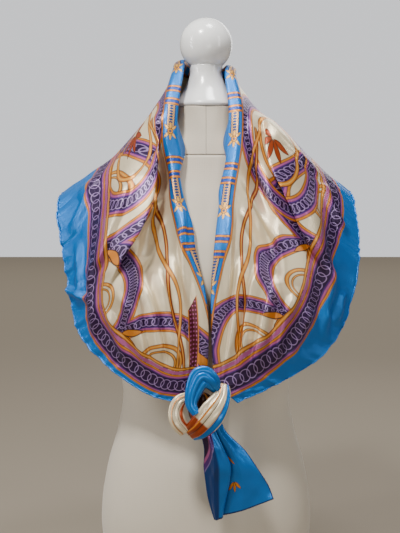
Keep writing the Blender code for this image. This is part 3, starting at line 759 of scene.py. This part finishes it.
def plainSilk(name, ground, stripes, patch=None):
    # silk in one ink with a patch of another near its end, and stripes: centre, half width, ink
    material, tree, shader = newMaterial(name, **satin)
    u, v = mapWires(tree, "flat")
    paint = Paint(tree, inks[ground])
    if patch:
        paint.lay(v.between(0.66, 0.98, 0.010), inks[patch])
    for centre, half, ink in stripes:
        paint.lay((u - centre).size().below(half, 0.006), inks[ink])
    tree.links.new(paint.socket, shader.inputs["Base Color"])
    addBump(tree, shader, noiseWire(tree, 70.0, 3.0) * 0.5 + noiseWire(tree, 1400.0, 2.0) * 0.1, 0.3, 0.001)
    return material


# the knot and the hanging corner; rows are x, y, z, half width, half thickness along each stretch
knotWrap = {
    "rows": ((0.0225, -0.1500, 0.2830, 0.0075, 0.0045), (0.0190, -0.1620, 0.2690, 0.0125, 0.0062),
             (0.0070, -0.1700, 0.2510, 0.0175, 0.0075), (-0.0090, -0.1680, 0.2320, 0.0160, 0.0068),
             (-0.0210, -0.1550, 0.2210, 0.0115, 0.0050)),
    "pleats": 9,
    "depth": 0.24,
    "stripes": ((-0.72, 0.20, "blue"), (-0.46, 0.03, "gold"), (0.10, 0.025, "brown"), (0.42, 0.06, "gold"),
                (0.62, 0.02, "brown")),
}

knotLoop = {
    "rows": ((-0.0220, -0.1410, 0.2670, 0.0060, 0.0040), (-0.0345, -0.1475, 0.2620, 0.0085, 0.0055),
             (-0.0400, -0.1520, 0.2500, 0.0100, 0.0062), (-0.0375, -0.1570, 0.2370, 0.0105, 0.0068),
             (-0.0270, -0.1560, 0.2240, 0.0090, 0.0055)),
    "pleats": 9,
    "depth": 0.22,
    "stripes": ((0.55, 0.10, "gold"), (0.38, 0.03, "brown"), (-0.30, 0.03, "brown"), (-0.75, 0.12, "rust")),
}

shortEnd = {
    "rows": ((0.0125, -0.1550, 0.2780, 0.0060, 0.0045), (0.0050, -0.1610, 0.2905, 0.0125, 0.0080),
             (-0.0070, -0.1630, 0.2965, 0.0150, 0.0095), (-0.0165, -0.1660, 0.2810, 0.0118, 0.0078),
             (-0.0200, -0.1690, 0.2630, 0.0078, 0.0055), (-0.0135, -0.1720, 0.2500, 0.0046, 0.0040)),
    "pleats": 7,
    "depth": 0.24,
    "slit": 1.3,  # the angle left open between the cloth's edges, and where it faces
    "slitAt": 0.6,
    "stripes": ((-0.97, 0.03, "deepBlue"),),
}

knotCore = {
    "centre": (-0.006, -0.152, 0.252),
    "radii": (0.018, 0.0141, 0.0225),
    "lobes": 6,
    "depth": 0.10,
    "stripes": ((0.25, 0.05, "gold"), (0.60, 0.06, "rust"), (0.85, 0.03, "gold")),
}

# rows are the left edge, the middle and the right edge, from the knot down
tailOver = {
    "rows": (((-0.006, -0.1540, 0.2440), (0.000, -0.1560, 0.2440), (0.006, -0.1540, 0.2440)),
             ((-0.007, -0.1520, 0.2250), (0.001, -0.1575, 0.2260), (0.011, -0.1540, 0.2240)),
             ((-0.003, -0.1510, 0.2000), (0.009, -0.1610, 0.2010), (0.022, -0.1545, 0.2000)),
             ((-0.004, -0.1470, 0.1780), (0.013, -0.1600, 0.1790), (0.031, -0.1515, 0.1790)),
             ((-0.002, -0.1440, 0.1580), (0.013, -0.1540, 0.1590), (0.0305, -0.1480, 0.1590)),
             ((0.002, -0.1400, 0.1300), (0.013, -0.1470, 0.1310), (0.026, -0.1420, 0.1310)),
             ((0.010, -0.1370, 0.1020), (0.014, -0.1415, 0.1030), (0.021, -0.1380, 0.1050))),
    "ripples": 2.0,
    # painted shade: the over tail's dark navy ground stands for the stretch lying in shade; its lighter blue
    # right part is a painted highlight
    "ground": "deepBlue",
    "bands": ((0.600, "lilac"), (0.588, "purple"), (0.500, "pink"), (0.440, "plum")),
    "sprays": (),
    "cut": (0.036, 0.130),
    "area": 0.0042,
}

tailUnder = {
    "rows": (((0.004, -0.1490, 0.2460), (0.011, -0.1540, 0.2460), (0.018, -0.1500, 0.2460)),
             ((0.003, -0.1485, 0.2260), (0.013, -0.1535, 0.2260), (0.025, -0.1480, 0.2235)),
             ((0.008, -0.1430, 0.1960), (0.029, -0.1520, 0.1975), (0.050, -0.1420, 0.1965)),
             ((0.012, -0.1370, 0.1650), (0.042, -0.1480, 0.1680), (0.069, -0.1390, 0.1680)),
             ((0.012, -0.1330, 0.1300), (0.047, -0.1430, 0.1410), (0.082, -0.1350, 0.1465)),
             ((0.010, -0.1310, 0.1030), (0.048, -0.1390, 0.1150), (0.0885, -0.1350, 0.1290))),
    "ripples": 1.5,
    "ground": "blue",
    "bands": (),
    "sprays": (0.44, 0.68),
    "cut": (0.078, 0.125),
    "area": 0.0070,
}


def bundleSurface(rows, pleats, depth, steps=72, around=112, slit=0.0, slitAt=0.0):
    # an oval carried along a path, pleated all round by the size of a sine; a slit leaves it open
    table = np.array(rows)
    line = through(np.arange(len(rows)), table, np.linspace(0, len(rows) - 1, steps))
    centre = line[:, :3]
    forward = unit(np.gradient(centre, axis=0))
    wide = unit(np.cross(forward, (0, -1, 0)))
    thick = unit(np.cross(forward, wide))
    angle = slitAt + np.linspace(slit / 2, 2 * np.pi - slit / 2, around + 1)
    sway = np.linspace(0, 1, steps)[:, None]
    wave = 1 - depth + depth * np.abs(np.sin(pleats * angle[None, :] / 2 + 1.1 * sway)) ** 0.55
    wave = wave + 0.03 * np.sin(3 * angle[None, :] + 7 * sway)
    x = np.cos(angle) * line[:, 3:4] * wave
    y = np.sin(angle) * line[:, 4:5] * wave
    points = centre[:, None] + x[..., None] * wide[:, None] + y[..., None] * thick[:, None]
    flat = np.stack([np.broadcast_to(np.cos(angle), x.shape), np.broadcast_to(sway, x.shape)], axis=-1)
    return points, flat


def addCurl(name, look, material, node):
    # cloth rolled round a path with its two edges apart
    points, flat = bundleSurface(look["rows"], look["pleats"], look["depth"], slit=look["slit"],
                                 slitAt=look["slitAt"])
    piece = addSurface(name, points, {"flat": flat}, material, thick=silkThick)
    place(piece, "silk", node)


def addBundle(name, look, material, node):
    # gathered cloth along a path, closed at both ends
    points, flat = bundleSurface(look["rows"], look["pleats"], look["depth"])
    flat = np.concatenate([flat[:1], flat, flat[-1:]])
    piece = addSurface(name, closeEnds(points), {"flat": flat}, material, closed=True)
    place(piece, "silk", node)


def tailSurface(rows, across=60, down=90):
    # down through the rows of three points, then across through the three
    table = np.array(rows)
    line = through(np.arange(len(rows)), table, np.linspace(0, len(rows) - 1, down))
    return through([0, 1, 2], line.transpose(1, 0, 2), np.linspace(0, 2, across)).transpose(1, 0, 2)


def addTail(name, look, node):
    # a sheet through the rows, with soft ridges that spread down from the knot
    points = tailSurface(look["rows"])
    down, across = points.shape[:2]
    u, v = np.meshgrid(np.linspace(0, 1, across), np.linspace(0, 1, down))
    ridge = 1 - np.abs(np.sin(np.pi * look["ripples"] * u + 0.9 * v)) ** 0.8
    wave = 0.0034 * (ridge - 0.4) * smoothStep(-0.1, 0.15, v) * (1 - 0.75 * smoothStep(0.2, 1.0, v))
    points = points + gridNormals(points) * (wave + 0.0006 * noise(21, down, across, 9, 7))[..., None]
    flat = np.stack([u, v], axis=-1)
    piece = addSurface(name, points, {"flat": flat}, tailMaterial(name + "Silk", look), thick=silkThick)
    place(piece, "silk", node)


def tailMaterial(name, look):
    # slanting bands below the knot, or leaf sprays, on one ink with a darker rim; a tail with bands also gets
    # painted shade and a painted highlight: its dark navy ground, with its right part painted lighter blue
    # where the fold catches the light
    material, tree, shader = newMaterial(name, **satin)
    u, v = mapWires(tree, "flat")
    paint = Paint(tree, inks[look["ground"]])
    if look["bands"]:
        # painted highlight: the right part of a tail with bands is painted lighter blue where its fold catches
        # the light
        paint.lay((u * -1.0 + 0.50 + v * 0.15).below(0.0, 0.05), inks["blue"])
    for reach, ink in look["bands"]:
        paint.lay((v + u * 0.55).below(reach, 0.010), inks[ink])
    for sprayAt in look["sprays"]:
        leafSpray(paint, (v - sprayAt) * 1.6, u - 0.36, 0.17, 3, "gold")
    rim = ((u - 0.5).size() - 0.482).over((v - 0.5).size() - 0.485)
    paint.lay((rim * -1.0).below(0.0, 0.004), inks["deepBlue"])
    tree.links.new(paint.socket, shader.inputs["Base Color"])
    addBump(tree, shader, noiseWire(tree, 60.0, 3.0) * 0.6 + noiseWire(tree, 1400.0, 2.0) * 0.1, 0.35, 0.0012)
    return material


def coreSurface(steps=40, around=80):
    # an ellipsoid whose sides are drawn in by the size of a sine of the turning angle
    turn = np.linspace(0, math.pi, steps)
    angle = np.linspace(0, 2 * np.pi, around + 1)
    wave = 1 - knotCore["depth"] * np.abs(np.sin(knotCore["lobes"] * angle))[None, :]
    points = np.stack([np.outer(np.sin(turn), np.cos(angle)) * wave,
                       np.outer(np.sin(turn), np.sin(angle)) * wave,
                       np.outer(-np.cos(turn), np.ones_like(angle))], axis=-1)
    return points * knotCore["radii"] + knotCore["centre"]


def buildKnot():
    addBundle("knotWrap", knotWrap, plainSilk("wrapSilk", "cream", knotWrap["stripes"], "rust"),
              "scarf_knot_wrap")
    addBundle("knotLoop", knotLoop, plainSilk("loopSilk", "cream", knotLoop["stripes"]), "scarf_knot_loop")
    addCurl("shortEnd", shortEnd, plainSilk("cornerSilk", "blue", shortEnd["stripes"]), "scarf_short_end")
    silk = plainSilk("innerSilk", "brown", knotCore["stripes"])
    addSolid("knotCore", coreSurface(), silk, "silk", "scarf_knot_core")
    addTail("tailOver", tailOver, "scarf_tail_over")
    addTail("tailUnder", tailUnder, "scarf_tail_under")
    print("knot built")


# floor, light and camera
studio = {
    "cameraAt": (-0.0087, -1.30, 0.50),
    "lookAt": (-0.0087, 0.0, 0.4285),
    "lens": 40.431,  # millimetres, on a sensor 24 high
    "sensor": 24,
    "floor": (0.13, 0.11, 0.085),
    "floorGlow": (0.25, 0.21, 0.16),
    "wall": (0.80, 0.81, 0.84),
    "wallSeen": 1.15,  # how bright the wall looks, and how much light it gives
    "wallLight": 0.09,
    "floorWide": 20,
    "floorShine": 0.75,
    # name, place, what it lights, watts, width and height, colour
    "lights": (("key", (-0.45, -0.80, 1.75), (0, 0, 0.48), 29, (0.20, 0.24), (1.0, 0.98, 0.94)),
               ("leftStrip", (-1.20, -0.50, 0.85), (0, 0, 0.45), 9, (0.08, 1.00), (1, 1, 1)),
               ("rightStrip", (1.20, -0.75, 0.90), (0, 0, 0.42), 5, (0.08, 1.00), (1, 1, 1)),
               ("top", (0.20, -0.20, 1.80), (0, 0, 0.5), 11, (0.30, 0.30), (1, 1, 1)),
               ("lowFill", (0.35, -1.50, 0.30), (0, 0, 0.14), 3.2, (0.5, 0.3), (1.0, 0.97, 0.92)),
               ("rear", (0.5, 1.3, 1.2), (0, 0, 0.45), 6, (0.8, 0.8), (1, 1, 1)),
               ("floorWash", (0.0, 5.0, 3.0), (0, 5.5, 0.0), 110, (8.0, 6.0), (1.0, 0.95, 0.86))),
}


def aim(item, target):
    # turns the item's own -Z towards the target, by the tilt and then the heading of the way there
    way = np.array(target) - np.array(item.location)
    item.rotation_euler = (math.atan2(math.hypot(way[0], way[1]), -way[2]), 0, math.atan2(-way[0], way[1]))


def addLight(name, at, target, power, size, colour):
    lamp = bpy.data.lights.new(name, "AREA")
    lamp.energy = power
    lamp.shape = "RECTANGLE"
    lamp.size, lamp.size_y = size
    lamp.color = colour
    item = bpy.data.objects.new(name, lamp)
    item.location = at
    bpy.context.collection.objects.link(item)
    aim(item, target)


def buildStudio():
    lens = bpy.data.cameras.new("camera")
    lens.sensor_fit = "VERTICAL"
    lens.sensor_height = studio["sensor"]
    lens.lens = studio["lens"]
    camera = bpy.data.objects.new("camera", lens)
    camera.location = studio["cameraAt"]
    bpy.context.collection.objects.link(camera)
    aim(camera, studio["lookAt"])
    bpy.context.scene.camera = camera
    material, _, shader = newMaterial("paleFloor", Roughness=0.9)
    shader.inputs["Base Color"].default_value = (*studio["floor"], 1)
    shader.inputs["Emission Color"].default_value = (*studio["floorGlow"], 1)
    shader.inputs["Emission Strength"].default_value = studio["floorShine"]
    bpy.ops.mesh.primitive_plane_add(size=studio["floorWide"])
    floor = bpy.context.object
    floor.name = "floor"
    floor.data.materials.append(material)
    world = bpy.data.worlds.new("studio")
    world.use_nodes = True
    # the wall looks pale but gives little light, so that the silk keeps its contrast
    sky, links = world.node_tree.nodes["Background"], world.node_tree.links
    sky.inputs[0].default_value = (*studio["wall"], 1)
    path = world.node_tree.nodes.new("ShaderNodeLightPath")
    level = world.node_tree.nodes.new("ShaderNodeMapRange")
    level.inputs["To Min"].default_value = studio["wallLight"]
    level.inputs["To Max"].default_value = studio["wallSeen"]
    links.new(path.outputs["Is Camera Ray"], level.inputs["Value"])
    links.new(level.outputs[0], sky.inputs[1])
    bpy.context.scene.world = world
    for row in studio["lights"]:
        addLight(*row)
    print("studio built")


buildStudio()
buildForm()
scarf = buildCape(scarfMaterial())
buildKnot()
